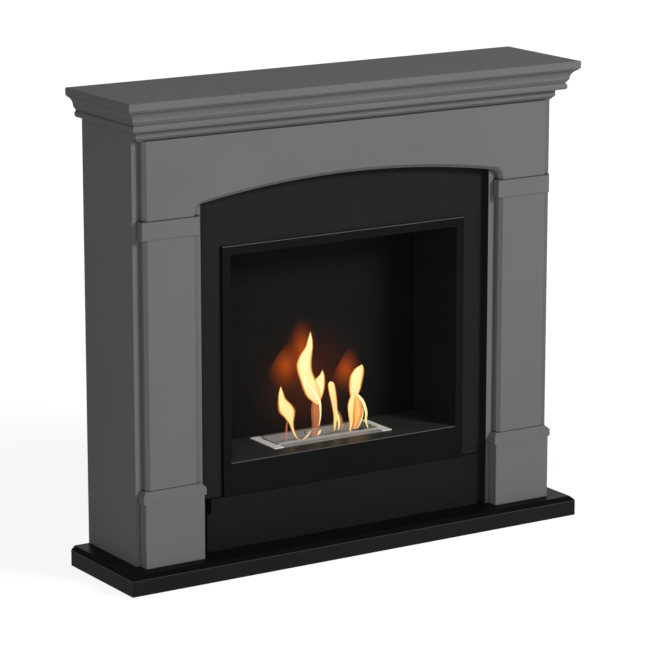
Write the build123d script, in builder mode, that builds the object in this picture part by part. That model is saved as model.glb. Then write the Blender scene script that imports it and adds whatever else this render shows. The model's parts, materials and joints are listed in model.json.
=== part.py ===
from build123d import *
import os

os.makedirs("parts", exist_ok=True)

# Free-standing fireplace suite: a painted surround on a base slab, with a black
# back panel that carries a steel firebox and a lift-out bioethanol burner.
# X runs to the right, Z up, and the front faces -Y. All sizes are in millimetres.

# Overall
overall_height = 1000
edge_break = 1.0

# Carcass behind the mouldings
board_thickness = 16
body_width = 1020.6
body_depth = 202
header_lap = 4
reveal_thickness = 1

# Base slab and mantel shelf
base_height = 42
base_end_overhang = 42.2
base_front_overhang = 59
base_chamfer = 8.5
shelf_thickness = 16

# Applied face: pilasters, frieze and arch
applied_thickness = 18
face_chamfer = 7
pilaster_setback = 17.3
pilaster_width = 121
recess_width = 18
frieze_height = 159.5
arch_height = 52.5
arch_rise = 33
arch_corner_radius = 20

# Bands, plinths and plinth caps
band_height = 39.5
band_depth = 19.5
band_overhang = 6
plinth_height = 136
plinth_depth = 25.5
plinth_overhang = 8.5
cap_height = 23
cap_depth = 26
cap_overhang = 12.5
cap_chamfer = 8

# Cornice
fillet_height = 23.5
fillet_depth = 20
fillet_chamfer = 8.5
packer_depth = 23.8
moulding_height = 45.5
moulding_depth = 36.7
moulding_top_inset = 3
moulding_top_lip = 2.5
cove_middle_inset = 12.7
cove_middle_rise = 35.5
cove_foot_inset = 17.1
cove_foot_rise = 22.1
bead_top_inset = 23.5
bead_top_rise = 13.5
bead_swell = 3.6
bead_undercut = 1

# Black back panel, seen inside the opening
panel_lap = 24
header_panel_lap = 38
frame_side_margin = 56
frame_height = 524
kick_height = 113
kick_setback = 15
kick_proud = 6
kick_seam = 1.5
kick_side_gap = 0.5
notch_width = 11
notch_height = 31

# Steel firebox
sheet = 2
fold_radius = 1.5
flange_proud = 7
flange_width = 19
flange_return = 23
fit_gap = 0.5
plate_height = 69
firebox_back_gap = 30

# Burner
burner_length = 293
burner_width = 101
burner_centre_depth = 96.5
rim_thickness = 1.5
rim_bearing = 8
rim_end_width = 22.5
rim_side_width = 20.5
collar_wall = 1.5
collar_rise = 3
collar_depth = 14
collar_notch_width = 3
collar_notch_depth = 9
collar_notches = (-22, 62)
tank_wall = 1.5
tank_floor_gap = 11
tank_side_gap = 3
wool_gap = 0.3
fuel_space = 14.5

# Inner carpentry
rail_height = 80
cleat_size = 20
shelf_board_overhang = 4
support_inset = 28
support_gap = 30
cleat_screw_inset = 24

# Screws: shank and head radius, and the clearance of every screw hole
screw_shank_radius = 2
screw_head_radius = 4
screw_head_height = 2.4
screw_clearance = 0.2
screw_bite = 10
stile_screw_inset = 80
header_screw_inset = 114
insert_screw_rise = 155
insert_screw_drop = 119
wall_hole_radius = 3
wall_hole_spacing = 600

# Worked out from the sizes above
shelf_width = body_width + 2 * moulding_depth
shelf_depth = body_depth + packer_depth + moulding_depth
base_width = body_width + 2 * base_end_overhang
base_depth = body_depth + base_front_overhang
back_y = shelf_depth / 2
body_half = body_width / 2
shelf_bottom = overall_height - shelf_thickness
face_depth = body_depth + applied_thickness
pilaster_outer = body_half - pilaster_setback
pilaster_inner = pilaster_outer - pilaster_width
opening_half = pilaster_inner - recess_width
plinth_top = base_height + plinth_height
cap_top = plinth_top + cap_height
fillet_top = shelf_bottom - moulding_height
frieze_top = fillet_top - fillet_height
frieze_bottom = frieze_top - frieze_height
arch_crown = frieze_bottom + arch_height
band_bottom = frieze_bottom - band_height
side_board_inner = body_half - board_thickness
panel_front = body_depth - board_thickness
panel_back = panel_front - board_thickness
panel_half = opening_half + panel_lap
header_bottom = arch_crown + header_lap
frame_half = opening_half - frame_side_margin
frame_bottom = base_height + kick_height
frame_top = frame_bottom + frame_height
chamber_floor = frame_bottom + plate_height
flange_front = panel_front + flange_proud
flange_back = flange_front - sheet
return_back = flange_front - flange_return
chamber_half = frame_half - flange_width
chamber_top = frame_top - flange_width
box_back = firebox_back_gap + sheet
kick_half = opening_half - kick_setback
kick_front = panel_front + kick_proud
kick_back = kick_front - board_thickness
shelf_board_half = chamber_half + sheet + shelf_board_overhang
shelf_board_bottom = frame_bottom - board_thickness
cleat_back = board_thickness
cleat_inner = side_board_inner - cleat_size
hole_radius = screw_shank_radius + screw_clearance
head_hole_radius = screw_head_radius + screw_clearance


def from_wall(distance):
    """Y of the plane that lies this far in front of the wall."""
    return back_y - distance


def facing(distance):
    """Plane this far in front of the wall, looking into the room."""
    return Plane.XZ.offset(distance - back_y)


def board(x_span, depth_span, z_span, mode=Mode.ADD):
    """Box between two X values, two distances from the wall and two heights."""
    width = abs(x_span[1] - x_span[0])
    depth = abs(depth_span[1] - depth_span[0])
    height = z_span[1] - z_span[0]
    middle_x = (x_span[0] + x_span[1]) / 2
    middle_depth = (depth_span[0] + depth_span[1]) / 2
    with Locations((middle_x, from_wall(middle_depth), z_span[0])):
        Box(width, depth, height, align=(Align.CENTER, Align.CENTER, Align.MIN), mode=mode)


def rod(plane, radius, length, mode=Mode.ADD):
    """Round bar or hole that starts on a plane and runs along its normal."""
    with BuildSketch(plane) as disc:
        Circle(radius)
    extrude(disc.sketch, amount=length, mode=mode)


def save(piece, label):
    """Labels a finished piece and writes it to its own file."""
    piece.part.label = label
    export_step(piece.part, f"parts/{label}.step")


sides = ((-1, "left"), (1, "right"))

# Base slab: the room side and both ends have a chamfered top edge
with BuildPart() as base_slab:
    board((-base_width / 2, base_width / 2), (0, base_depth), (0, base_height))
    base_top_edges = base_slab.faces().sort_by(Axis.Z)[-1].edges()
    chamfer(base_top_edges.sort_by(Axis.Y)[:-1], length=base_chamfer)
save(base_slab, "base_slab")

# Mantel shelf: a plain slab with broken edges towards the room
with BuildPart() as mantel_shelf:
    board((-shelf_width / 2, shelf_width / 2), (0, shelf_depth), (shelf_bottom, overall_height))
    shelf_top_edges = mantel_shelf.faces().sort_by(Axis.Z)[-1].edges()
    shelf_low_edges = mantel_shelf.faces().sort_by(Axis.Z)[0].edges()
    broken_edges = shelf_top_edges.sort_by(Axis.Y)[:-1] + shelf_low_edges.sort_by(Axis.Y)[:-1]
    chamfer(broken_edges, length=edge_break)
save(mantel_shelf, "mantel_shelf")

# Places of the screws that hold the inner cleats to the side boards
cleat_middle = (cleat_back + panel_front) / 2
cleat_screw_depths = (cleat_back + cleat_screw_inset, cleat_middle, panel_front - cleat_screw_inset)
cleat_heights = {"base": base_height, "top": shelf_bottom - cleat_size}


def cleat_screw_planes(side):
    """Planes on a side's cleats where the screws enter, looking outwards."""
    planes = []
    for low in cleat_heights.values():
        for depth in cleat_screw_depths:
            centre = (side * cleat_inner, from_wall(depth), low + cleat_size / 2)
            planes.append(Plane(origin=centre, x_dir=(0, 1, 0), z_dir=(side, 0, 0)))
    return planes


# Screws that hold the black boards to the back of the front boards
stile_screw_low = base_height + stile_screw_inset
stile_screw_high = frame_top - stile_screw_inset
stile_screw_heights = (stile_screw_low, (stile_screw_low + stile_screw_high) / 2, stile_screw_high)
stile_screw_x = opening_half + panel_lap / 2
header_screw_height = header_bottom + panel_lap / 2
header_screw_x = opening_half - header_screw_inset
panel_screw_centres = []
for side, name in sides:
    panel_screw_centres.append((side * header_screw_x, header_screw_height))
    for height in stile_screw_heights:
        panel_screw_centres.append((side * stile_screw_x, height))


def panel_screw_plane(x, z, depth):
    """Plane at a black board's screw, looking towards the room."""
    return Plane(origin=(x, from_wall(depth), z), x_dir=(1, 0, 0), z_dir=(0, -1, 0))


# Screws that hold the firebox frame to the edges of the black stiles
insert_screw_heights = (frame_bottom + insert_screw_rise, frame_top - insert_screw_drop)
insert_screw_depth = return_back + flange_return / 2


def insert_screw_plane(side, z, x):
    """Plane at a firebox frame screw, looking outwards."""
    return Plane(origin=(side * x, from_wall(insert_screw_depth), z), x_dir=(0, 1, 0), z_dir=(side, 0, 0))


# Carcass: side boards and front boards, full height between base and shelf
carcass_height = (base_height, shelf_bottom)
front_layer = (panel_front, body_depth)
for side, name in sides:
    with BuildPart() as side_board:
        board((side * side_board_inner, side * body_half), (0, body_depth), carcass_height)
        for plane in cleat_screw_planes(side):
            rod(plane, hole_radius, cleat_size + screw_bite + screw_clearance, mode=Mode.SUBTRACT)
    save(side_board, f"{name}_side_board")

    with BuildPart() as front_board:
        board((side * opening_half, side * side_board_inner), front_layer, carcass_height)
        for height in stile_screw_heights:
            start = panel_screw_plane(side * stile_screw_x, height, panel_front)
            rod(start, hole_radius, screw_bite + screw_clearance, mode=Mode.SUBTRACT)
    save(front_board, f"{name}_front_board")

    # Black strip on the edge of the front board, which lines the opening
    with BuildPart() as reveal_strip:
        inner_edge = opening_half - reveal_thickness
        board((side * inner_edge, side * opening_half), front_layer, (base_height, header_bottom))
    save(reveal_strip, f"{name}_reveal_strip")

# Front header: closes the front between the two front boards, above the arch
with BuildPart() as front_header:
    board((-opening_half, opening_half), front_layer, (header_bottom, shelf_bottom))
    for side, name in sides:
        start = panel_screw_plane(side * header_screw_x, header_screw_height, panel_front)
        rod(start, hole_radius, screw_bite + screw_clearance, mode=Mode.SUBTRACT)
save(front_header, "front_header")

# Frieze: a board across both pilasters, cut by the shallow arch
with BuildPart() as frieze:
    with BuildSketch(facing(body_depth)) as frieze_face:
        with Locations((0, (frieze_bottom + frieze_top) / 2)):
            Rectangle(2 * pilaster_outer, frieze_top - frieze_bottom)
        with BuildSketch(mode=Mode.PRIVATE) as arch:
            spring = arch_crown - arch_rise
            with BuildLine():
                Polyline(
                    (-pilaster_inner, spring),
                    (-pilaster_inner, frieze_bottom),
                    (pilaster_inner, frieze_bottom),
                    (pilaster_inner, spring),
                )
                ThreePointArc((pilaster_inner, spring), (0, arch_crown), (-pilaster_inner, spring))
            make_face()
            fillet(arch.vertices().group_by(Axis.Y)[-1], radius=arch_corner_radius)
        add(arch.sketch, mode=Mode.SUBTRACT)
    extrude(amount=applied_thickness)
    frieze_front_edges = frieze.faces().sort_by(Axis.Y)[0].edges()
    chamfer(frieze_front_edges.filter_by(Axis.X, reverse=True), length=face_chamfer)
save(frieze, "frieze")

# Pilasters, their bands, plinths and plinth caps
for side, name in sides:
    inner = side * pilaster_inner
    outer = side * pilaster_outer

    with BuildPart() as pilaster:
        board((inner, outer), (body_depth, face_depth), (cap_top, band_bottom))
        pilaster_front = pilaster.faces().sort_by(Axis.Y)[0]
        chamfer(pilaster_front.edges().filter_by(Axis.Z), length=face_chamfer)
    save(pilaster, f"{name}_pilaster")

    with BuildPart() as band:
        band_span = (inner - side * band_overhang, outer + side * band_overhang)
        board(band_span, (body_depth, body_depth + band_depth), (band_bottom, frieze_bottom))
        chamfer(band.faces().sort_by(Axis.Y)[0].edges(), length=edge_break)
    save(band, f"{name}_band")

    with BuildPart() as plinth:
        plinth_span = (inner - side * plinth_overhang, outer + side * plinth_overhang)
        board(plinth_span, (body_depth, body_depth + plinth_depth), (base_height, plinth_top))
        chamfer(plinth.faces().sort_by(Axis.Y)[0].edges().filter_by(Axis.Z), length=edge_break)
    save(plinth, f"{name}_plinth")

    with BuildPart() as plinth_cap:
        cap_span = (inner - side * cap_overhang, outer + side * cap_overhang)
        board(cap_span, (body_depth, body_depth + cap_depth), (plinth_top, cap_top))
        cap_top_edges = plinth_cap.faces().sort_by(Axis.Z)[-1].edges()
        chamfer(cap_top_edges.sort_by(Axis.Y)[:-1], length=cap_chamfer)
    save(plinth_cap, f"{name}_plinth_cap")

# Cornice fillet: the board over the frieze, with a bevel along its lower edge
with BuildPart() as cornice_fillet:
    board((-body_half, body_half), (body_depth, body_depth + fillet_depth), (frieze_top, fillet_top))
    fillet_low_edges = cornice_fillet.faces().sort_by(Axis.Z)[0].edges()
    chamfer(fillet_low_edges.sort_by(Axis.Y)[:-1], length=fillet_chamfer)
save(cornice_fillet, "cornice_fillet")

# Cornice packer: fills the space between the body and the front moulding
with BuildPart() as cornice_packer:
    board((-body_half, body_half), (body_depth, body_depth + packer_depth), (fillet_top, shelf_bottom))
save(cornice_packer, "cornice_packer")


def moulding_profile(plane, edge, inward):
    """Cornice section: a top lip, a cove, a straight slope and a bead."""

    def at(inset, rise):
        return (edge + inward * inset, fillet_top + rise)

    lip_foot = at(moulding_top_inset, moulding_height - moulding_top_lip)
    cove_middle = at(cove_middle_inset, cove_middle_rise)
    cove_foot = at(cove_foot_inset, cove_foot_rise)
    bead_top = at(bead_top_inset, bead_top_rise)
    bead_middle = at(bead_top_inset - bead_swell, bead_top_rise / 2)
    bead_foot = at(bead_top_inset - bead_undercut, 0)
    with BuildSketch(plane) as profile:
        with BuildLine():
            Polyline(
                bead_foot,
                at(moulding_depth, 0),
                at(moulding_depth, moulding_height),
                at(moulding_top_inset, moulding_height),
                lip_foot,
            )
            ThreePointArc(lip_foot, cove_middle, cove_foot)
            Line(cove_foot, bead_top)
            ThreePointArc(bead_top, bead_middle, bead_foot)
        make_face()
    return profile.sketch


def mitre_plane(side):
    """Upright plane through a front corner of the shelf, at 45 degrees to it."""
    corner = (side * shelf_width / 2, from_wall(shelf_depth), 0)
    return Plane(origin=corner, z_dir=(side, 1, 0))


# Cornice mouldings: one along the front and one along each side, mitred
with BuildPart() as front_moulding:
    section = moulding_profile(Plane.YZ, from_wall(shelf_depth), 1)
    extrude(section, amount=shelf_width / 2, both=True)
    for side, name in sides:
        split(bisect_by=mitre_plane(side), keep=Keep.BOTTOM)
save(front_moulding, "front_cornice_moulding")

for side, name in sides:
    with BuildPart() as side_moulding:
        section = moulding_profile(facing(0), side * shelf_width / 2, -side)
        extrude(section, amount=shelf_depth)
        split(bisect_by=mitre_plane(side), keep=Keep.TOP)
    save(side_moulding, f"{name}_cornice_moulding")

# Rails across the back: the upper one has the two holes for fixing to a wall
rail_span = (-side_board_inner, side_board_inner)
with BuildPart() as top_rear_rail:
    board(rail_span, (0, board_thickness), (shelf_bottom - rail_height, shelf_bottom))
    for side, name in sides:
        hole_x = side * wall_hole_spacing / 2
        rail_middle = shelf_bottom - rail_height / 2
        start = Plane(origin=(hole_x, back_y, rail_middle), z_dir=(0, -1, 0))
        rod(start, wall_hole_radius, board_thickness, mode=Mode.SUBTRACT)
save(top_rear_rail, "top_rear_rail")

with BuildPart() as bottom_rear_rail:
    board(rail_span, (0, board_thickness), (base_height, base_height + rail_height))
save(bottom_rear_rail, "bottom_rear_rail")

# Cleats that join the side boards to the base and to the shelf
for side, name in sides:
    for place, low in cleat_heights.items():
        with BuildPart() as cleat:
            cleat_span = (side * cleat_inner, side * side_board_inner)
            board(cleat_span, (cleat_back, panel_front), (low, low + cleat_size))
            for depth in cleat_screw_depths:
                centre = (side * cleat_inner, from_wall(depth), low + cleat_size / 2)
                start = Plane(origin=centre, x_dir=(0, 1, 0), z_dir=(side, 0, 0))
                rod(start, hole_radius, cleat_size, mode=Mode.SUBTRACT)
                rod(start, head_hole_radius, screw_head_height, mode=Mode.SUBTRACT)
        save(cleat, f"{name}_{place}_cleat")

# Screws sunk into the cleats
with BuildPart() as cleat_screws:
    for side, name in sides:
        for plane in cleat_screw_planes(side):
            rod(plane, screw_head_radius, screw_head_height)
            rod(plane, screw_shank_radius, cleat_size + screw_bite)
save(cleat_screws, "cleat_screws")

# Black back panel: header, two stiles that step in above the kick panel
with BuildPart() as panel_header:
    board((-panel_half, panel_half), (panel_back, panel_front), (frame_top, header_bottom + header_panel_lap))
    for side, name in sides:
        start = panel_screw_plane(side * header_screw_x, header_screw_height, panel_back)
        rod(start, hole_radius, board_thickness, mode=Mode.SUBTRACT)
save(panel_header, "panel_header")

for side, name in sides:
    with BuildPart() as panel_stile:
        stile_inner = frame_half + fit_gap
        panel_layer = (panel_back, panel_front)
        board((side * stile_inner, side * panel_half), panel_layer, (base_height, frame_top))
        step_in = (side * stile_inner, side * kick_half)
        board(step_in, panel_layer, (base_height, frame_bottom), mode=Mode.SUBTRACT)
        for height in stile_screw_heights:
            start = panel_screw_plane(side * stile_screw_x, height, panel_back)
            rod(start, hole_radius, board_thickness, mode=Mode.SUBTRACT)
        for height in insert_screw_heights:
            start = insert_screw_plane(side, height, stile_inner)
            rod(start, hole_radius, screw_bite + screw_clearance, mode=Mode.SUBTRACT)
    save(panel_stile, f"panel_{name}_stile")

with BuildPart() as panel_screws:
    for x, z in panel_screw_centres:
        start = panel_screw_plane(x, z, panel_back - screw_head_height)
        rod(start, screw_head_radius, screw_head_height)
        rod(start, screw_shank_radius, screw_head_height + board_thickness + screw_bite)
save(panel_screws, "panel_screws")

# Kick panel under the firebox, with a small notch in its upper left corner
with BuildPart() as kick_panel:
    kick_edge = kick_half - kick_side_gap
    kick_top = frame_bottom - kick_seam
    board((-kick_edge, kick_edge), (kick_back, kick_front), (base_height, kick_top))
    notch_span = (-kick_edge, -kick_edge + notch_width)
    board(notch_span, (kick_back, kick_front), (kick_top - notch_height, kick_top), mode=Mode.SUBTRACT)
save(kick_panel, "kick_panel")

for side, name in sides:
    with BuildPart() as kick_cleat:
        post_outer = kick_edge - notch_width
        post_span = (side * (post_outer - cleat_size), side * post_outer)
        board(post_span, (kick_back - cleat_size, kick_back), (base_height, kick_top))
    save(kick_cleat, f"{name}_kick_cleat")

# Board and two legs that carry the firebox behind the kick panel
with BuildPart() as firebox_shelf:
    board((-shelf_board_half, shelf_board_half), (cleat_back, panel_back), (shelf_board_bottom, frame_bottom))
save(firebox_shelf, "firebox_shelf")

for side, name in sides:
    with BuildPart() as firebox_leg:
        leg_outer = shelf_board_half - support_inset
        leg_span = (side * (leg_outer - board_thickness), side * leg_outer)
        board(leg_span, (cleat_back, panel_back - support_gap), (base_height, shelf_board_bottom))
    save(firebox_leg, f"{name}_firebox_leg")

# Firebox frame: folded flanges that stand proud of the black panel
for side, name in sides:
    with BuildPart() as frame_stile:
        stile_height = (frame_bottom, chamber_top)
        board((side * chamber_half, side * frame_half), (flange_back, flange_front), stile_height)
        return_inner = side * (frame_half - sheet)
        board((return_inner, side * frame_half), (return_back, flange_back), stile_height)
        for height in insert_screw_heights:
            start = insert_screw_plane(side, height, frame_half - sheet)
            rod(start, hole_radius, sheet, mode=Mode.SUBTRACT)
        stile_front_edges = frame_stile.faces().sort_by(Axis.Y)[0].edges().filter_by(Axis.Z)
        fillet(stile_front_edges.sort_by(Axis.X)[-1 if side > 0 else 0], radius=fold_radius)
    save(frame_stile, f"frame_{name}_stile")

with BuildPart() as frame_top_rail:
    board((-frame_half, frame_half), (flange_back, flange_front), (chamber_top, frame_top))
    board((-frame_half, frame_half), (return_back, flange_back), (frame_top - sheet, frame_top))
    for side, name in sides:
        rail_end = (side * (frame_half - sheet), side * frame_half)
        board(rail_end, (return_back, flange_back), (chamber_top, frame_top - sheet))
    rail_front_edges = frame_top_rail.faces().sort_by(Axis.Y)[0].edges()
    fillet(rail_front_edges.sort_by(Axis.Z)[1:], radius=fold_radius)
save(frame_top_rail, "frame_top_rail")

with BuildPart() as frame_front_plate:
    board((-chamber_half, chamber_half), (flange_back, flange_front), (frame_bottom, chamber_floor))
    plate_return_half = frame_half - sheet
    return_height = (frame_bottom, frame_bottom + sheet)
    board((-plate_return_half, plate_return_half), (return_back, flange_back), return_height)
    plate_front_edges = frame_front_plate.faces().sort_by(Axis.Y)[0].edges()
    fillet(plate_front_edges.sort_by(Axis.Z)[-1], radius=fold_radius)
save(frame_front_plate, "frame_front_plate")

with BuildPart() as insert_screws:
    for side, name in sides:
        for height in insert_screw_heights:
            head_x = frame_half - sheet - screw_head_height
            start = insert_screw_plane(side, height, head_x)
            rod(start, screw_head_radius, screw_head_height)
            rod(start, screw_shank_radius, screw_head_height + sheet + fit_gap + screw_bite)
save(insert_screws, "insert_screws")

# Firebox: back, two sides and roof of folded sheet
box_half = chamber_half + sheet
wall_bottom = frame_bottom + sheet

with BuildPart() as firebox_back:
    board((-box_half, box_half), (firebox_back_gap, box_back), (frame_bottom, chamber_top))
save(firebox_back, "firebox_back")

for side, name in sides:
    with BuildPart() as firebox_side:
        board((side * chamber_half, side * box_half), (box_back, flange_back), (wall_bottom, chamber_top))
        board((side * chamber_half, side * box_half), (box_back, return_back), (frame_bottom, wall_bottom))
    save(firebox_side, f"firebox_{name}_side")

with BuildPart() as firebox_roof:
    board((-box_half, box_half), (firebox_back_gap, flange_back), (chamber_top, chamber_top + sheet))
save(firebox_roof, "firebox_roof")

# Tank size: it hangs inside the floor's cut-out, under the rim
tank_length = burner_length - 2 * rim_bearing - 2 * tank_side_gap
tank_width = burner_width - 2 * rim_bearing - 2 * tank_side_gap
tank_bottom = frame_bottom + tank_floor_gap
rim_top = chamber_floor + rim_thickness

# Firebox floor, flush with the top of the front plate, cut out for the burner
with BuildPart() as firebox_floor:
    board((-chamber_half, chamber_half), (box_back, flange_back), (chamber_floor - sheet, chamber_floor))
    cut_half_length = burner_length / 2 - rim_bearing
    cut_half_width = burner_width / 2 - rim_bearing
    cut_depths = (burner_centre_depth - cut_half_width, burner_centre_depth + cut_half_width)
    cut_span = (-cut_half_length, cut_half_length)
    board(cut_span, cut_depths, (chamber_floor - sheet, chamber_floor), mode=Mode.SUBTRACT)
save(firebox_floor, "firebox_floor")


def around_burner(length, width, z_span, mode=Mode.ADD):
    """Box centred on the burner, of this length and width."""
    depths = (burner_centre_depth - width / 2, burner_centre_depth + width / 2)
    board((-length / 2, length / 2), depths, z_span, mode=mode)


# Burner rim: the bright plate that rests on the floor
slot_length = burner_length - 2 * rim_end_width
slot_width = burner_width - 2 * rim_side_width
collar_length = slot_length + 2 * collar_wall
collar_width = slot_width + 2 * collar_wall
with BuildPart() as burner_rim:
    around_burner(burner_length, burner_width, (chamber_floor, rim_top))
    around_burner(collar_length, collar_width, (chamber_floor, rim_top), mode=Mode.SUBTRACT)
save(burner_rim, "burner_rim")

# Burner collar: the upright lip round the flame slot, notched at the back
collar_top = rim_top + collar_rise
with BuildPart() as burner_collar:
    around_burner(collar_length, collar_width, (collar_top - collar_depth, collar_top))
    around_burner(slot_length, slot_width, (collar_top - collar_depth, collar_top), mode=Mode.SUBTRACT)
    collar_back = burner_centre_depth - slot_width / 2
    for notch_x in collar_notches:
        notch = (notch_x - collar_notch_width / 2, notch_x + collar_notch_width / 2)
        back_wall = (collar_back - collar_wall, collar_back)
        board(notch, back_wall, (collar_top - collar_notch_depth, collar_top), mode=Mode.SUBTRACT)
save(burner_collar, "burner_collar")

# Burner tank: an open box under the rim that holds the fuel
with BuildPart() as burner_tank:
    around_burner(tank_length, tank_width, (tank_bottom, chamber_floor))
    inner_length = tank_length - 2 * tank_wall
    inner_width = tank_width - 2 * tank_wall
    around_burner(inner_length, inner_width, (tank_bottom + tank_wall, chamber_floor), mode=Mode.SUBTRACT)
save(burner_tank, "burner_tank")

# Ceramic wool that soaks up the fuel, loose in the bottom of the tank
with BuildPart() as ceramic_wool:
    wool_length = inner_length - 2 * wool_gap
    wool_width = inner_width - 2 * wool_gap
    wool_bottom = tank_bottom + tank_wall
    around_burner(wool_length, wool_width, (wool_bottom, chamber_floor - fuel_space))
save(ceramic_wool, "ceramic_wool")
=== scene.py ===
import json
import math

import bmesh
import bpy
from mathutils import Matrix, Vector, noise


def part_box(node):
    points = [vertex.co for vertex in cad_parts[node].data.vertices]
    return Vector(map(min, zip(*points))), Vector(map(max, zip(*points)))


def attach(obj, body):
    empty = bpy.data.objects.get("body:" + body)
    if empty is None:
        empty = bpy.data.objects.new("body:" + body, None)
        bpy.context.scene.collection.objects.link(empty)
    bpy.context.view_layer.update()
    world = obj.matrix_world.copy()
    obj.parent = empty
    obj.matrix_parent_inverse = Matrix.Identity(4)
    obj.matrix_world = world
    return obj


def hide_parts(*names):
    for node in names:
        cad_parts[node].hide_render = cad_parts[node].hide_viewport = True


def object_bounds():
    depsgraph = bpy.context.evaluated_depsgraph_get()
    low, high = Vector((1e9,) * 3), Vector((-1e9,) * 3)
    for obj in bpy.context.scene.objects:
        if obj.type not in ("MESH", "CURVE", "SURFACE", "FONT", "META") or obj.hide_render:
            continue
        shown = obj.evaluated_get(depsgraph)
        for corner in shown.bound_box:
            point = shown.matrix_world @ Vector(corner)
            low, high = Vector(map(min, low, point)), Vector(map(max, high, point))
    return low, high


# A fireplace suite in a plain white studio: finishes for the CAD pieces, wool and
# flames for the burner, a pale floor, two soft lamps and the camera.
# Sizes are in metres, and the front faces -Y, as in the frame.

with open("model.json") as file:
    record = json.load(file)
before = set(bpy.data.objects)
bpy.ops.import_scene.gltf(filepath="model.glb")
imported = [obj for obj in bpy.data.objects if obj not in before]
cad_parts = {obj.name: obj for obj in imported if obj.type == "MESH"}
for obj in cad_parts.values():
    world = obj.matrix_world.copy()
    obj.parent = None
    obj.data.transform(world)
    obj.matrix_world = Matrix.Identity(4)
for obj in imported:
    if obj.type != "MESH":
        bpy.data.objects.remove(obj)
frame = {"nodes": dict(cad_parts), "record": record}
cad_low, cad_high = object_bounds()
nodes = frame["nodes"]
mm = 0.001


# Node helpers

def new_finish(name, metallic=0.0, specular=0.5, roughness=0.5):
    """New material with nodes, and its shader."""
    finish = bpy.data.materials.new(name)
    finish.use_nodes = True
    shader = finish.node_tree.nodes["Principled BSDF"]
    shader.inputs["Metallic"].default_value = metallic
    shader.inputs["Specular IOR Level"].default_value = specular
    shader.inputs["Roughness"].default_value = roughness
    return finish, shader


def connect(finish, value, socket):
    """Sets an input to a plain value, or links it to another node's output."""
    if isinstance(value, bpy.types.NodeSocket):
        finish.node_tree.links.new(value, socket)
    else:
        socket.default_value = value


def new_node(finish, kind, **inputs):
    """Node of this kind whose named inputs are set to values or linked to sockets."""
    made = finish.node_tree.nodes.new(kind)
    for label, value in inputs.items():
        connect(finish, value, made.inputs[label.replace("_", " ")])
    return made


def arithmetic(finish, operation, *values):
    """Result of one sum on up to three values or sockets."""
    made = finish.node_tree.nodes.new("ShaderNodeMath")
    made.operation = operation
    for value, socket in zip(values, made.inputs):
        connect(finish, value, socket)
    return made.outputs["Value"]


def length_of(finish, vector):
    """Length of a vector."""
    measure = new_node(finish, "ShaderNodeVectorMath", Vector=vector)
    measure.operation = "LENGTH"
    return measure.outputs["Value"]


def part_along(finish, vector, axis):
    """Part of a vector along one axis."""
    return new_node(finish, "ShaderNodeSeparateXYZ", Vector=vector).outputs[axis]


def object_point(finish, stretch=(1, 1, 1)):
    """Place on the object, in metres, stretched along its axes."""
    place = new_node(finish, "ShaderNodeTexCoord").outputs["Object"]
    return new_node(finish, "ShaderNodeMapping", Vector=place, Scale=stretch).outputs["Vector"]


def cloud(finish, scale, detail=2.0, stretch=(1, 1, 1)):
    """Soft random pattern between 0 and 1, with this many lumps per metre."""
    point = object_point(finish, stretch)
    noise_node = new_node(finish, "ShaderNodeTexNoise", Vector=point, Scale=scale, Detail=detail)
    return noise_node.outputs["Fac"]


def spread(finish, value, low, high, from_low=0.3, from_high=0.7):
    """Stretches a pattern to the range from low to high."""
    scaled = new_node(finish, "ShaderNodeMapRange", Value=value)
    scaled.inputs["From Min"].default_value = from_low
    scaled.inputs["From Max"].default_value = from_high
    connect(finish, low, scaled.inputs["To Min"])
    connect(finish, high, scaled.inputs["To Max"])
    return scaled.outputs["Result"]


def patches(finish, scale, detail=2.0, stretch=(1, 1, 1)):
    """Random pattern with strong contrast, from 0 to 1."""
    return spread(finish, cloud(finish, scale, detail, stretch), 0.0, 1.0)


def blend_colours(finish, factor, first, second):
    """Colour that turns from the first into the second with the factor."""
    mix = finish.node_tree.nodes.new("ShaderNodeMix")
    mix.data_type = "RGBA"
    connect(finish, factor, mix.inputs["Factor"])
    colour_inputs = [socket for socket in mix.inputs if socket.type == "RGBA"]
    connect(finish, first, colour_inputs[0])
    connect(finish, second, colour_inputs[1])
    return [socket for socket in mix.outputs if socket.type == "RGBA"][0]


def relief(finish, shader, height, distance, strength):
    """Fine relief from a pattern."""
    bump = new_node(finish, "ShaderNodeBump", Height=height, Distance=distance, Strength=strength)
    connect(finish, bump.outputs["Normal"], shader.inputs["Normal"])


def face_normal(finish, axis):
    """How far a face's normal points along one axis, from -1 to 1."""
    normal = new_node(finish, "ShaderNodeNewGeometry").outputs["True Normal"]
    return part_along(finish, normal, axis)


def facing_up(finish, rise, tolerance):
    """1 on the faces whose normal rises by this much, and 0 elsewhere."""
    return arithmetic(finish, "COMPARE", face_normal(finish, "Z"), rise, tolerance)


def at_height(finish, height, tolerance):
    """1 within the tolerance of this height, and 0 elsewhere."""
    place = part_along(finish, object_point(finish), "Z")
    return arithmetic(finish, "COMPARE", place, height, tolerance)


def painted_corner_shade(finish, reach):
    """Mask for painted shade: 1 deep in a joint or an inner corner, and 0 on open faces. It looks
    this far round.
    """
    closed, open_face = 0.45, 0.95
    openness = new_node(finish, "ShaderNodeAmbientOcclusion", Distance=reach).outputs["AO"]
    return spread(finish, openness, 1.0, 0.0, closed, open_face)


def grey(level, tint=(1, 1, 1)):
    """Opaque colour of this linear grey level."""
    return (level * tint[0], level * tint[1], level * tint[2], 1)


# Finishes

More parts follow.
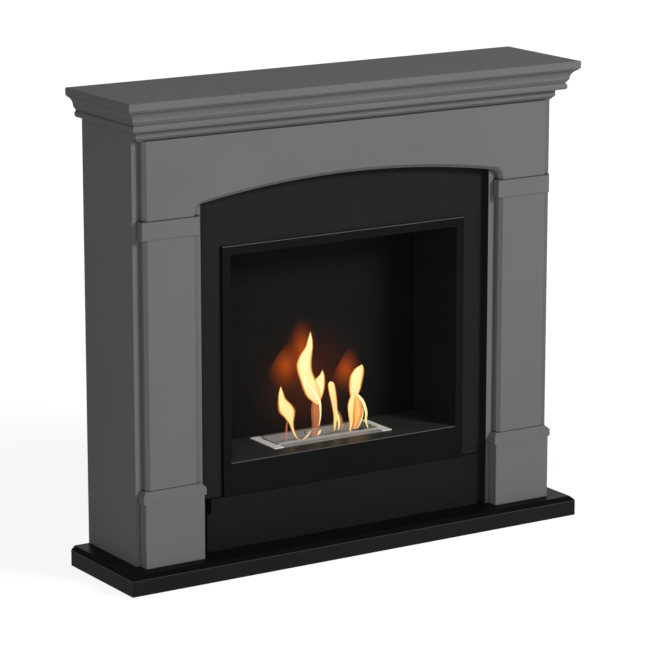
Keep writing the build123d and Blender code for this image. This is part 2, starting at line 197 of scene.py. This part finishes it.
def painted(name, level, specular, roughness, mottle, tint=(1, 1, 1), shade_corners=False,
            seam_shade_height=None):
    """Sprayed paint on board: faint mottling, uneven gloss and a fine orange peel.

    If asked, shade is painted into inner corners as a darker tone, and a line of painted shade is
    drawn where the board meets another.
    """
    corner_shade_share, corner_shade_reach = 0.55, 4 * mm
    seam_shade_level, seam_shade_reach = 0.045, 1.2 * mm
    gloss_change = 0.05
    finish, shader = new_finish(name, specular=specular)
    darker = grey(level * (1 - mottle), tint)
    lighter = grey(level * (1 + mottle), tint)
    tone = blend_colours(finish, patches(finish, 5, 3), darker, lighter)
    if shade_corners:
        # Painted shade: inner corners and joints get a darker tone.
        corner = painted_corner_shade(finish, corner_shade_reach)
        tone = blend_colours(finish, corner, tone, grey(level * corner_shade_share, tint))
    # Painted shade: a dark line at the height where this board meets the next piece.
    if seam_shade_height:
        seam_shade = at_height(finish, seam_shade_height, seam_shade_reach)
        tone = blend_colours(finish, seam_shade, tone, grey(seam_shade_level, tint))
    connect(finish, tone, shader.inputs["Base Color"])
    gloss = spread(finish, cloud(finish, 60), roughness - gloss_change, roughness + gloss_change)
    connect(finish, gloss, shader.inputs["Roughness"])
    relief(finish, shader, cloud(finish, 700, 1), 0.02 * mm, 0.5)
    return finish


def grey_paint(name, seam_shade_height=None):
    """Matt grey paint of the mantel, with painted shade in its inner corners and, if asked, a line
    of painted shade at a seam.
    """
    return painted(name, 0.160, 0.02, 0.6, 0.03, (0.985, 0.99, 1.02), True, seam_shade_height)


def base_paint():
    """Satin near-black paint, rougher on the slope round the slab's top. Painted shade on the top,
    ends and slope, and a painted highlight just under the slope.
    """
    face_levels = (0.0115, 0.0135)
    top_shade_level, end_shade_and_highlight_level, slope_shade_level, highlight_level = 0.003, 0.003, 0.002, 0.034
    slope_drop, half_highlight = 8.5 * mm, 1.1 * mm
    slope_roughness = 0.8
    finish, shader = new_finish("base_paint", specular=0.04)
    slope = facing_up(finish, math.sqrt(0.5), 0.1)
    level_top = facing_up(finish, 1.0, 0.1)
    end_face = arithmetic(
        finish, "GREATER_THAN", arithmetic(finish, "ABSOLUTE", face_normal(finish, "X")), 0.9)
    slope_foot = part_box("base_slab")[1][2] - slope_drop
    slope_foot_highlight = at_height(finish, slope_foot - half_highlight, half_highlight)
    tone = blend_colours(finish, patches(finish, 6, 3), grey(face_levels[0]), grey(face_levels[1]))
    # Painted shade on the top, the end faces and the slope, and a painted highlight under the
    # slope.
    tone = blend_colours(finish, level_top, tone, grey(top_shade_level))
    tone = blend_colours(finish, end_face, tone, grey(end_shade_and_highlight_level))
    tone = blend_colours(finish, slope_foot_highlight, tone, grey(highlight_level))
    tone = blend_colours(finish, slope, tone, grey(slope_shade_level))
    connect(finish, tone, shader.inputs["Base Color"])
    gloss = spread(finish, cloud(finish, 50), 0.36, 0.44)
    gloss = spread(finish, slope, gloss, slope_roughness, 0.0, 1.0)
    connect(finish, gloss, shader.inputs["Roughness"])
    relief(finish, shader, cloud(finish, 600, 1), 0.02 * mm, 0.4)
    return finish


def powder_coat(name, level, specular, roughness, fold_highlight_level=None):
    """Fine-grained black coating on sheet steel, with a painted highlight on the upper folds if
    asked.
    """
    tint = (0.94, 1.02, 1.02)
    level_change, gloss_change = 0.15, 0.06
    finish, shader = new_finish(name, specular=specular)
    darker = grey(level * (1 - level_change), tint)
    lighter = grey(level * (1 + level_change), tint)
    tone = blend_colours(finish, patches(finish, 8, 3), darker, lighter)
    if fold_highlight_level:
        # Painted highlight on the rounded upper folds.
        fold_highlight = facing_up(finish, 0.5, 0.45)
        tone = blend_colours(finish, fold_highlight, tone, grey(fold_highlight_level))
    connect(finish, tone, shader.inputs["Base Color"])
    gloss = spread(finish, cloud(finish, 90), roughness - gloss_change, roughness + gloss_change)
    connect(finish, gloss, shader.inputs["Roughness"])
    relief(finish, shader, cloud(finish, 1400, 1), 0.03 * mm, 0.6)
    return finish


def brushed_grain(finish):
    """Long thin scratches along X."""
    return cloud(finish, 1, 3, (18, 1500, 1500))


def brushed_steel(name, level, roughness, metallic, top_highlight_level=None):
    """Stainless steel brushed along its length, with a painted highlight on upward faces if asked.
    """
    gloss_change = 0.08
    finish, shader = new_finish(name, metallic=metallic)
    grain = brushed_grain(finish)
    scratches = spread(finish, grain, 0.0, 1.0)
    streaks = blend_colours(finish, scratches, grey(level * 0.85), grey(level * 1.12))
    stain = grey(level * 0.76, (1.0, 0.97, 0.93))
    tone = blend_colours(finish, patches(finish, 14, 3), streaks, stain)
    # Painted highlight on the upward faces.
    if top_highlight_level:
        tone = blend_colours(finish, facing_up(finish, 1.0, 0.2), tone, grey(top_highlight_level))
    connect(finish, tone, shader.inputs["Base Color"])
    gloss = spread(finish, grain, roughness - gloss_change, roughness + gloss_change)
    connect(finish, gloss, shader.inputs["Roughness"])
    relief(finish, shader, grain, 0.03 * mm, 0.5)
    return finish


def rim_steel():
    """Brushed rim of the burner, with a painted highlight at its two ends and painted shade along
    its long sides.
    """
    side_shade_levels, end_shade_and_highlight_level = (0.24, 0.34), 1.0
    end_width, fade_width = 24 * mm, 3 * mm
    finish, shader = new_finish("rim_steel", metallic=0.15)
    grain = brushed_grain(finish)
    low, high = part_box("burner_rim")
    middle, half_length = (low[0] + high[0]) / 2, (high[0] - low[0]) / 2
    along = part_along(finish, object_point(finish), "X")
    from_middle = arithmetic(finish, "ABSOLUTE", arithmetic(finish, "SUBTRACT", along, middle))
    end_start = half_length - end_width
    end_highlight = spread(finish, from_middle, 0.0, 1.0, end_start, end_start + fade_width)
    scratches = spread(finish, grain, 0.0, 1.0)
    # Painted shade along the long sides, and a painted highlight at the ends.
    shaded_long_side = blend_colours(finish, scratches, grey(side_shade_levels[0]), grey(side_shade_levels[1]))
    tone = blend_colours(finish, end_highlight, shaded_long_side, grey(end_shade_and_highlight_level))
    connect(finish, tone, shader.inputs["Base Color"])
    connect(finish, spread(finish, grain, 0.34, 0.5), shader.inputs["Roughness"])
    relief(finish, shader, grain, 0.03 * mm, 0.5)
    return finish


def zinc_plate():
    """Dull zinc on the screws, with small crystals."""
    tint = (1, 0.99, 0.94)
    finish, shader = new_finish("zinc_plate", metallic=1.0)
    crystals = patches(finish, 900)
    tone = blend_colours(finish, crystals, grey(0.45, tint), grey(0.62, tint))
    connect(finish, tone, shader.inputs["Base Color"])
    connect(finish, spread(finish, crystals, 0.32, 0.5, 0.0, 1.0), shader.inputs["Roughness"])
    return finish


def fibreboard(name, share=1.0):
    """Light brown fibreboard with darker flecks, or the same board darkened to a share of its tone
    as painted shade.
    """
    drift_colours = ((0.36, 0.235, 0.125), (0.42, 0.28, 0.155))
    fleck_colour = (0.30, 0.19, 0.10)
    finish, shader = new_finish(name, specular=0.2 * share, roughness=0.8)
    fibres = patches(finish, 260, 4, (1, 1, 0.4))
    darker, lighter = (grey(share, colour) for colour in drift_colours)
    pale = blend_colours(finish, patches(finish, 7, 3), darker, lighter)
    tone = blend_colours(finish, fibres, pale, grey(share, fleck_colour))
    connect(finish, tone, shader.inputs["Base Color"])
    relief(finish, shader, fibres, 0.08 * mm, 0.6)
    return finish


def fibre_wool():
    """White ceramic wool: tangled strands, scorched in places."""
    finish, shader = new_finish("fibre_wool", specular=0.1, roughness=0.95)
    strands = patches(finish, 420, 6, (0.5, 1, 1))
    scorch = spread(finish, cloud(finish, 30, 3), 0.0, 1.0, 0.45, 0.75)
    white = blend_colours(finish, strands, (0.52, 0.50, 0.46, 1), (0.80, 0.79, 0.75, 1))
    tone = blend_colours(finish, scorch, white, (0.33, 0.29, 0.25, 1))
    connect(finish, tone, shader.inputs["Base Color"])
    relief(finish, shader, strands, 0.5 * mm, 1.0)
    return finish


finishes = {
    "grey_board": grey_paint("grey_paint"),
    "base_board": base_paint(),
    "black_board": painted("black_paint", 0.0135, specular=0.05, roughness=0.6, mottle=0.08),
    "black_steel": powder_coat("powder_coat", 0.0066, specular=0.04, roughness=0.5),
    "burner_steel": brushed_steel("brushed_steel", 0.62, roughness=0.38, metallic=0.7),
    "ceramic_wool": fibre_wool(),
    "plain_board": fibreboard("fibreboard"),
    "screws": zinc_plate(),
}

# Pieces that differ from the rest of their slot, most of them by painted light or shade
# Painted shade lines at the pilasters' feet, on the seam with the caps, and at the bands' tops, on
# the seam with the frieze.
half_seam_shade = 0.6 * mm
pilaster_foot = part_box("left_pilaster")[0][2]
band_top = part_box("left_band")[1][2]
pilaster_paint = grey_paint("pilaster_paint", pilaster_foot + half_seam_shade)
band_paint = grey_paint("band_paint", band_top - half_seam_shade)
# The frame's upper folds get a painted highlight.
frame_coat = powder_coat("frame_coat", 0.0047, specular=0.04, roughness=0.5, fold_highlight_level=0.10)
# Painted shade: these inner boards are darkened nearly to black, so that where they show through
# gaps they read as dark.
shade_darkened_board = fibreboard("shade_darkened_board", 0.02)
special_finishes = {
    "left_pilaster": pilaster_paint,
    "right_pilaster": pilaster_paint,
    "left_band": band_paint,
    "right_band": band_paint,
    "kick_panel": painted("kick_paint", 0.0092, specular=0.05, roughness=0.55, mottle=0.08),
    "frame_left_stile": frame_coat,
    "frame_right_stile": frame_coat,
    "frame_top_rail": frame_coat,
    "frame_front_plate": frame_coat,
    # Painted light: the firebox floor and right side are coated lighter than the rest of the
    # firebox, against the shade inside it.
    "firebox_floor": powder_coat("floor_coat_painted_light", 0.030, specular=0.08, roughness=0.4),
    "firebox_right_side": powder_coat("side_coat_painted_light", 0.012, specular=0.04, roughness=0.5),
    "firebox_shelf": shade_darkened_board,
    "left_firebox_leg": shade_darkened_board,
    "right_firebox_leg": shade_darkened_board,
    "left_kick_cleat": shade_darkened_board,
    "right_kick_cleat": shade_darkened_board,
    "bottom_rear_rail": shade_darkened_board,
    "burner_rim": rim_steel(),
    "burner_collar": brushed_steel(
        "edge_steel", 0.36, roughness=0.5, metallic=0.7, top_highlight_level=1.0),
}
for subpart in frame["record"]["subparts"]:
    node_name = subpart["node"]
    for held in nodes[node_name].material_slots:
        held.material = special_finishes.get(node_name, finishes[subpart["material_slot"]])


# New pieces

def add_piece(name, mesh, finish, body="burner"):
    """Puts a finished mesh into the scene as a piece that moves with a CAD body."""
    piece = bpy.data.objects.new(name, mesh)
    bpy.context.scene.collection.objects.link(piece)
    mesh.materials.append(finish)
    for face in mesh.polygons:
        face.use_smooth = True
    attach(piece, body)
    return piece


def mesh_from(bm, name):
    """Mesh made from a finished edit."""
    mesh = bpy.data.meshes.new(name)
    bm.to_mesh(mesh)
    bm.free()
    return mesh


def wool_mesh():
    """Pad of loose fibre that fills the CAD wool's box, with a lumpy top and soft edges."""
    low, high = (Vector(corner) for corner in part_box("ceramic_wool"))
    size = high - low
    cell_counts = (90, 26, 12)
    edge_drop, edge_width = 5 * mm, 3 * mm
    lump, lumps_per_metre, lump_centre = 1.6 * mm, 140, 0.6
    bm = bmesh.new()
    bmesh.ops.create_cube(bm, size=1)
    for axis, count in enumerate(cell_counts):
        for step in range(1, count):
            point, normal = Vector((0, 0, 0)), Vector((0, 0, 0))
            point[axis] = step / count - 0.5
            normal[axis] = 1
            everything = bm.verts[:] + bm.edges[:] + bm.faces[:]
            bmesh.ops.bisect_plane(bm, geom=everything, plane_co=point, plane_no=normal)
    for vert in bm.verts:
        place = Vector((low[i] + (vert.co[i] + 0.5) * size[i] for i in range(3)))
        from_side = min(place.x - low.x, high.x - place.x, place.y - low.y, high.y - place.y)
        rise = (place.z - low.z) / size.z
        roll = math.exp(-from_side / edge_width) * edge_drop
        bumps = lump * (noise.fractal(place * lumps_per_metre, 1.0, 2.0, 4) - lump_centre)
        place.z += rise * min(0, bumps - roll)
        vert.co = place
    return mesh_from(bm, "wool")


wool = add_piece("wool_pad", wool_mesh(), finishes["ceramic_wool"])
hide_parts("ceramic_wool")


# Flames

burner_low, burner_high = (Vector(corner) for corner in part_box("burner_collar"))
flame_y = (burner_low.y + burner_high.y) / 2
root_z = burner_high.z - 9 * mm
heart_z = root_z + 75 * mm
tip_start_z = root_z + 60 * mm
tip_z = root_z + 170 * mm
vein_colour = (0.95, 0.36, 0.09, 1)
# How far a tongue set back in depth moves sideways and down, to keep its place among the others
sight_turn = 0.638
sight_drop = 0.194


def flame_finish(name, root, heart, tip, alphas, strength, streaks=None):
    """Glowing gas: the colour and how dense it is change from the root to the tip."""
    finish, shader = new_finish(name, specular=0.0, roughness=1.0)
    height = part_along(finish, object_point(finish), "Z")
    low_part = spread(finish, height, 0.0, 1.0, root_z, heart_z)
    high_part = spread(finish, height, 0.0, 1.0, tip_start_z, tip_z)
    lower = blend_colours(finish, low_part, root, heart)
    tone = blend_colours(finish, high_part, lower, tip)
    if streaks:
        curl = cloud(finish, 1, 2, (60, 60, 16))
        veins = spread(finish, curl, 0.0, streaks, 0.4, 0.7)
        tone = blend_colours(finish, veins, tone, vein_colour)
    shader.inputs["Base Color"].default_value = grey(0.0)
    connect(finish, tone, shader.inputs["Emission Color"])
    shader.inputs["Emission Strength"].default_value = strength
    density = spread(finish, low_part, alphas[0], alphas[1], 0.0, 1.0)
    connect(finish, density, shader.inputs["Alpha"])
    finish.surface_render_method = "BLENDED"
    return finish


red = (0.60, 0.10, 0.03, 1)
orange = (0.95, 0.25, 0.02, 1)
amber = (1.0, 0.50, 0.09, 1)
straw = (1.0, 0.80, 0.30, 1)
cream = (1.0, 0.94, 0.52, 1)
rose = (0.70, 0.20, 0.12, 1)
copper = (0.85, 0.28, 0.11, 1)
flame_skin = flame_finish("flame_skin", red, orange, orange, (0.10, 0.20), 1.1)
flame_body = flame_finish("flame_body", orange, amber, straw, (0.20, 0.34), 1.3, 0.5)
flame_heart = flame_finish("flame_heart", straw, cream, cream, (0.45, 0.85), 1.45, 0.4)
flame_veil = flame_finish("flame_veil", rose, copper, orange, (0.16, 0.30), 0.85, 0.5)
flame_sheet = flame_finish("flame_sheet", orange, amber, straw, (0.20, 0.50), 1.25, 0.5)
flame_thread = flame_finish("flame_thread", straw, cream, cream, (0.4, 0.85), 1.5)


def smooth_line(points, steps):
    """Smooth line through the given points, each a tuple of numbers."""
    ends = [points[0]] + list(points) + [points[-1]]
    line = []
    for a, b, c, d in zip(ends, ends[1:], ends[2:], ends[3:]):
        for step in range(steps):
            t = step / steps
            line.append([
                0.5 * (2 * q + (r - p) * t + (2 * p - 5 * q + 4 * r - s) * t * t
                       + (3 * q - p - 3 * r + s) * t ** 3)
                for p, q, r, s in zip(a, b, c, d)
            ])
    line.append(list(points[-1]))
    return line


def inner_line(points, share):
    """Smooth line of a shell inside a tongue, thinner by a share of the widest half width.

    Where the tongue is narrow the shell loses less, so that it reaches into the tails.
    """
    steps, narrow_power, thinnest = 7, 0.6, 0.15
    widest = max(point[2] for point in points)
    line = []
    for x, z, half in smooth_line(points, steps):
        wide = half - share * widest * (max(half, 0) / widest) ** narrow_power
        if wide > thinnest:
            line.append((x, z, wide))
    return line


def flame_mesh(name, line, thickness, depth, upright):
    """Closed lens-shaped tongue along a line of (x, z, half width) points in millimetres."""
    sides = 20
    edge_depth = 0.3
    sway_reach, sway_rise, sway_run = 2.5, 24, 30
    drift = Vector((depth * sight_turn, -depth * sight_drop))
    bm = bmesh.new()
    rings = []
    for index, (x, z, wide) in enumerate(line):
        before = line[max(index - 1, 0)]
        after = line[min(index + 1, len(line) - 1)]
        run = Vector((after[0] - before[0], after[1] - before[1])).normalized()
        across = Vector((1, 0)) if upright else Vector((-run.y, run.x))
        deep = thickness * wide + edge_depth
        sway = depth + sway_reach * math.sin(z / sway_rise + x / sway_run)
        ring = []
        for side in range(sides):
            angle = 2 * math.pi * side / sides
            shift = across * wide * math.cos(angle)
            place = Vector((x + drift.x + shift.x, 0, z + drift.y + shift.y)) * mm
            place.y = flame_y + (sway + deep * math.sin(angle)) * mm
            ring.append(bm.verts.new(place))
        rings.append(ring)
    for lower, upper in zip(rings, rings[1:]):
        for side in range(sides):
            following = (side + 1) % sides
            bm.faces.new((lower[side], lower[following], upper[following], upper[side]))
    for ring in (rings[0], rings[-1]):
        middle = bm.verts.new(sum((vert.co for vert in ring), Vector()) / sides)
        for side in range(sides):
            bm.faces.new((ring[side], ring[(side + 1) % sides], middle))
    bmesh.ops.recalc_face_normals(bm, faces=bm.faces)
    return mesh_from(bm, name)


def add_flame(name, points, shells, thickness=0.55, depth=0.0, upright=True):
    """Tongue of flame made of nested shells, each thinner by its share."""
    for number, (finish, share) in enumerate(shells):
        label = f"flame_{name}_{number}"
        mesh = flame_mesh(label, inner_line(points, share), thickness, depth, upright)
        piece = add_piece(label, mesh, finish)
        piece.visible_shadow = False


full = ((flame_skin, 0.0), (flame_body, 0.10), (flame_heart, 0.26))
thin = ((flame_skin, 0.0), (flame_thread, 0.25))
veil = ((flame_veil, 0.0), (flame_veil, 0.4))
sheet = ((flame_veil, 0.0), (flame_sheet, 0.1), (flame_sheet, 0.3), (flame_heart, 0.62))

# Tongues from left to right: x, z and half width of each point, in millimetres
add_flame("left", [
    (-102, 343, 0.4), (-101, 329, 5.8), (-98, 314, 9.8), (-90, 299, 17), (-84, 285, 19.3),
    (-78, 272, 12.8), (-73, 257, 6.0), (-68, 240, 3.8), (-60, 225, 2.6), (-50, 218, 1.2),
], full)
add_flame("left_root", [
    (-83, 265, 1.2), (-85, 247, 2.5), (-86, 221, 1.2),
], veil, upright=False)
add_flame("tall", [
    (-28, 452, 0.4), (-29, 436, 5.8), (-31, 419, 9.5), (-37, 403, 15), (-41, 384, 18.2),
    (-39, 366, 17.9), (-32, 347, 18.6), (-25, 328, 19.2), (-18, 309, 16.6), (-9, 292, 5.0),
], full, depth=-3)
add_flame("tall_lobe", [
    (4, 363, 0.4), (3, 352, 6.4), (-3, 340, 14), (-4, 326, 14), (-6, 312, 11.5), (-6, 297, 3.5),
], full, depth=4)
add_flame("tall_ribbon", [
    (-46, 365, 0.8), (-36, 346, 2.5), (-23, 328, 3.5), (-11, 310, 4.1), (-4, 296, 3.3),
    (-3, 278, 2.5), (-4, 260, 1.9), (-7, 245, 0.8),
], thin, depth=-13, upright=False)
add_flame("tall_root", [
    (-13, 304, 7.0), (-14, 285, 11.5), (-14, 263, 10.8), (-13, 246, 9.9),
    (-15, 228, 8.4), (-15, 220, 5),
], veil, depth=2)
add_flame("third", [
    (26, 334, 4.0), (27, 328, 8.2), (30, 312, 8.8), (33, 294, 7.8), (35, 274, 6.4),
    (36, 260, 5.8), (34, 244, 4.6), (32, 228, 2.4),
], full, depth=6)
add_flame("third_leg", [
    (38, 268, 1.4), (42, 256, 3.4), (44, 242, 3.2), (42, 228, 1.6),
], thin, depth=3, upright=False)
add_flame("third_root", [
    (42, 270, 1.2), (47, 258, 2.9), (50, 245, 4.0), (52, 228, 3.0),
], veil, depth=6, upright=False)
add_flame("right", [
    (103, 363, 0.8), (95, 355, 11.5), (89, 342, 16.7), (86, 325, 16.2),
    (85, 307, 13.5), (83, 289, 6.0),
], full)
add_flame("right_ribbon", [
    (84, 303, 2.4), (80, 292, 6.2), (77, 277, 8.0), (76, 259, 6.6), (76, 241, 4.8), (72, 222, 2.2),
], full, depth=-6, upright=False)
add_flame("right_veil", [
    (90, 300, 4.0), (92, 288, 7.4), (94, 272, 12.3), (94, 257, 14), (91, 241, 11.6), (84, 224, 5.5),
], sheet, depth=2)
add_flame("right_strand", [
    (90, 301, 1.8), (103, 286, 3.9), (111, 271, 4.0), (116, 254, 3.5),
    (115, 237, 2.9), (120, 221, 1.4),
], thin, depth=-3, upright=False)
add_flame("right_edge", [
    (108, 266, 0.6), (107, 250, 1.9), (100, 235, 1.9), (91, 223, 0.8),
], thin, depth=-2, upright=False)
add_flame("low_curl", [
    (-43, 221, 1.0), (-33, 227, 1.9), (-25, 238, 0.5),
], thin, depth=-20, upright=False)
add_flame("low_bud", [
    (-8, 224, 1.0), (-4, 231, 3.3), (-1, 236, 0.5),
], thin, depth=-14, upright=False)


def painted_glow_finish(name, peak):
    """Painted glow: faint orange light round the flames, fading out from the middle of each patch.
    """
    fade_power = 2.3
    finish, shader = new_finish(name, specular=0.0, roughness=1.0)
    place = new_node(finish, "ShaderNodeTexCoord").outputs["Generated"]
    centred = new_node(finish, "ShaderNodeVectorMath", Vector=place)
    centred.operation = "SUBTRACT"
    centred.inputs[1].default_value = (0.5, 0.5, 0.5)
    offset = centred.outputs["Vector"]
    flat = new_node(finish, "ShaderNodeMapping", Vector=offset, Scale=(2, 0, 2)).outputs["Vector"]
    fade = spread(finish, length_of(finish, flat), 1.0, 0.0, 0.0, 1.0)
    soft = arithmetic(finish, "POWER", fade, fade_power)
    shader.inputs["Base Color"].default_value = grey(0.0)
    shader.inputs["Emission Color"].default_value = (0.82, 0.125, 0.012, 1)
    shader.inputs["Emission Strength"].default_value = 0.9
    connect(finish, spread(finish, soft, 0.0, peak, 0.0, 1.0), shader.inputs["Alpha"])
    finish.surface_render_method = "BLENDED"
    return finish


near_painted_glow = painted_glow_finish("near_painted_glow", 0.36)
wide_painted_glow = painted_glow_finish("wide_painted_glow", 0.05)


def add_painted_glow(name, finish, x, z, half_width, half_height, lean, depth):
    """Thin glowing lens of painted light behind the flames, sized in millimetres."""
    half_depth, ripple, ripples = 6, 0.08, 3
    bm = bmesh.new()
    bmesh.ops.create_uvsphere(bm, u_segments=40, v_segments=24, radius=1)
    for vert in bm.verts:
        wave = 1 + ripple * math.sin(ripples * math.atan2(vert.co.z, vert.co.x) + x)
        side = vert.co.x * half_width * wave
        rise = vert.co.z * half_height * wave
        back = depth + vert.co.y * half_depth
        vert.co = Vector((x + side + lean * rise, back, z + rise)) * mm
        vert.co.y += flame_y
    piece = add_piece(name, mesh_from(bm, name), finish)
    piece.visible_shadow = False
    piece.visible_diffuse = False


# Painted glow round the flames, in place of their light on the back of the firebox.
add_painted_glow("painted_glow_left", near_painted_glow, -38, 420, 36, 72, 0.25, 20)
add_painted_glow("painted_glow_low", near_painted_glow, -66, 372, 46, 66, 0.45, 28)
add_painted_glow("painted_glow_right", near_painted_glow, 78, 348, 34, 60, 0.5, 20)
add_painted_glow("painted_glow_all", wide_painted_glow, 5, 340, 170, 165, 0.0, 40)


# Studio

def seen_by_eye(finish, ray):
    """1 for rays that show the background: straight, mirrored or through glass."""
    total = ray.outputs["Is Camera Ray"]
    for kind in ("Is Glossy Ray", "Is Transmission Ray"):
        total = arithmetic(finish, "MAXIMUM", total, ray.outputs[kind])
    return total


def add_floor():
    """Pale floor that melts into the white background and keeps a soft shadow."""
    half_width, drop = 14.0, 0.5 * mm
    paper_levels, shadow_level = (0.60, 0.62), 0.25
    near_white, near_radius, far_radius = 0.88, 0.8, 2.4
    bm = bmesh.new()
    bmesh.ops.create_grid(bm, x_segments=1, y_segments=1, size=half_width)
    for vert in bm.verts:
        vert.co.z = cad_low.z - drop
    mesh = mesh_from(bm, "studio_floor")
    floor = bpy.data.objects.new("studio_floor", mesh)
    bpy.context.scene.collection.objects.link(floor)
    finish = bpy.data.materials.new("floor_paper")
    finish.use_nodes = True
    finish.node_tree.nodes.clear()
    darker, lighter = (grey(level) for level in paper_levels)
    tone = blend_colours(finish, patches(finish, 30), darker, lighter)
    matt = new_node(finish, "ShaderNodeBsdfDiffuse", Color=tone).outputs["BSDF"]
    from_middle = length_of(finish, object_point(finish))
    level = spread(finish, from_middle, near_white, 1.0, near_radius, far_radius)
    white = new_node(finish, "ShaderNodeEmission", Color=grey(1.0), Strength=level)
    shadow = new_node(finish, "ShaderNodeBsdfDiffuse", Color=grey(shadow_level))
    seen_part = new_node(finish, "ShaderNodeAddShader")
    connect(finish, shadow.outputs["BSDF"], seen_part.inputs[0])
    connect(finish, white.outputs["Emission"], seen_part.inputs[1])
    chosen = new_node(finish, "ShaderNodeMixShader")
    connect(finish, seen_by_eye(finish, new_node(finish, "ShaderNodeLightPath")), chosen.inputs[0])
    connect(finish, matt, chosen.inputs[1])
    connect(finish, seen_part.outputs["Shader"], chosen.inputs[2])
    new_node(finish, "ShaderNodeOutputMaterial", Surface=chosen.outputs["Shader"])
    mesh.materials.append(finish)


def add_world(ambient):
    """White background, and a weak even light from all round."""
    world = bpy.data.worlds.new("studio")
    bpy.context.scene.world = world
    world.use_nodes = True
    world.node_tree.nodes.clear()
    seen = seen_by_eye(world, new_node(world, "ShaderNodeLightPath"))
    tone = blend_colours(world, seen, grey(ambient), grey(1.0))
    back = new_node(world, "ShaderNodeBackground", Color=tone, Strength=1.0)
    new_node(world, "ShaderNodeOutputWorld", Surface=back.outputs["Background"])


def direction(azimuth, elevation):
    """Unit vector turned from the front towards +X and raised, by these angles in degrees."""
    turn, rise = math.radians(azimuth), math.radians(elevation)
    return Vector((
        math.sin(turn) * math.cos(rise),
        -math.cos(turn) * math.cos(rise),
        math.sin(rise),
    ))


def aim(thing, location, backwards):
    """Puts a lamp or camera at a place, with its back turned this way."""
    thing.location = location
    thing.rotation_mode = "QUATERNION"
    thing.rotation_quaternion = backwards.to_track_quat("Z", "Y")
    bpy.context.scene.collection.objects.link(thing)


def add_lamp(name, azimuth, elevation, distance, width, light_level):
    """Round lamp aimed at the middle of the object.

    The light level is what it gives at the object, where pi lights a white face fully.
    """
    light = bpy.data.lights.new(name, "AREA")
    light.shape = "DISK"
    light.size = width
    light.energy = light_level * math.pi * distance ** 2
    towards = direction(azimuth, elevation)
    middle = (cad_low + cad_high) / 2
    aim(bpy.data.objects.new(name, light), middle + towards * distance, towards)


def add_camera():
    """Long lens from the front left, a little above the shelf."""
    camera_data = bpy.data.cameras.new("camera")
    camera_data.sensor_width = 36
    camera_data.lens = 178.7
    camera_data.clip_end = 60
    camera = bpy.data.objects.new("camera", camera_data)
    aim(camera, (-3.556, -5.556, 1.988), direction(-32.53, 12.97))
    bpy.context.scene.camera = camera


add_floor()
add_world(ambient=0.12)
add_lamp("key_lamp", azimuth=30, elevation=27, distance=6.0, width=1.6, light_level=2.2)
add_lamp("fill_lamp", azimuth=-45, elevation=10, distance=6.0, width=3.0, light_level=0.93)
add_camera()
bpy.context.scene.view_settings.view_transform = "Standard"
